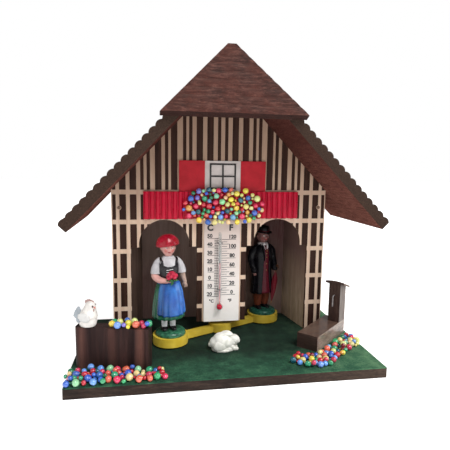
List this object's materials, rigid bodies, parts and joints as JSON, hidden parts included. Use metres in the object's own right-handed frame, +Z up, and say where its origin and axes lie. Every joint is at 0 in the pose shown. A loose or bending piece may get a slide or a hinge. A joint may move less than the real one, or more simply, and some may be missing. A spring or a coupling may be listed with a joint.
{
  "type": "weather house",
  "caption": "Half-timbered chalet weather house: a beam on a gut strand swings one of two figures out of its doorway, beside a thermometer card under a scalloped roof.",
  "frame": {"origin": "on the underside of the base board, below the middle of the roof, half-way from the garden's front edge to the back wall", "axes": "+X to the viewer's right along the front, +Y from the garden towards the back wall, +Z up"},
  "size_m": [0.171, 0.0914, 0.1692],
  "materials": {
    "base_wood": "painted brown board",
    "grass": "flocked sheet",
    "panel_wood": "matt painted plywood",
    "timber_ink": "matt print",
    "wall_wood": "stained softwood",
    "back_wood": "dark stained board",
    "roof_wood": "stained scalloped softwood",
    "white_card": "matt card",
    "black_bars": "semi-gloss",
    "shutter_red": "painted card",
    "balcony_red": "semi-gloss ribbed strip",
    "beads": "mixed glossy beads",
    "scale_card": "satin printed card",
    "tube_glass": "clear",
    "red_spirit": "dyed liquid",
    "bright_steel": "bright wire",
    "rail_wood": "raw softwood",
    "peg_brass": "dull",
    "gut": "dry twisted gut",
    "beam_yellow": "semi-gloss moulding",
    "woman_paint": "hand-painted moulding",
    "man_paint": "hand-painted moulding",
    "block_wood": "stained softwood",
    "hen_paint": "hand-painted moulding",
    "trough_wood": "stained softwood",
    "cap_wood": "raw veneer",
    "rabbit_white": "glossy moulding"
  },
  "bodies": {
    "house": {"base_board": "base_wood", "grass_sheet": "grass", "front_panel": "panel_wood", "timber_print": "timber_ink", "left_side_wall": "wall_wood", "right_side_wall": "wall_wood", "back_wall": "back_wood", "left_roof": "roof_wood", "right_roof": "roof_wood", "hip_roof": "roof_wood", "window_card": "white_card", "window_bars": "black_bars", "left_shutter": "shutter_red", "right_shutter": "shutter_red", "balcony_rail": "balcony_red", "balcony_flowers": "beads", "block_flowers": "beads", "left_bed_flowers": "beads", "right_bed_flowers": "beads", "thermometer_card": "scale_card", "thermometer_tube": "tube_glass", "thermometer_spirit": "red_spirit", "tube_clips": "bright_steel", "panel_nails": "bright_steel", "fountain_spout": "bright_steel", "gut_rail": "rail_wood", "fluted_block": "block_wood", "hen": "hen_paint", "fountain_trough": "trough_wood", "fountain_post": "trough_wood", "fountain_cap": "cap_wood", "rabbit": "rabbit_white"},
    "peg": {"adjusting_peg": "peg_brass"},
    "beam": {"weather_beam": "beam_yellow", "gut_post": "peg_brass", "gut_strand": "gut", "woman_figure": "woman_paint", "man_figure": "man_paint"}
  },
  "joints": [
    {"name": "peg_turn", "type": "hinge", "parent": "house", "child": "peg", "pos_m": [0, 0.0162, 0.1], "axis": [0, 0, 1], "range_deg": [-12, 2]},
    {"name": "beam_swing", "type": "hinge", "parent": "peg", "child": "beam", "pos_m": [0, 0.0162, 0.0095], "axis": [0, 0, 1], "range_deg": [-42, 0]}
  ]
}
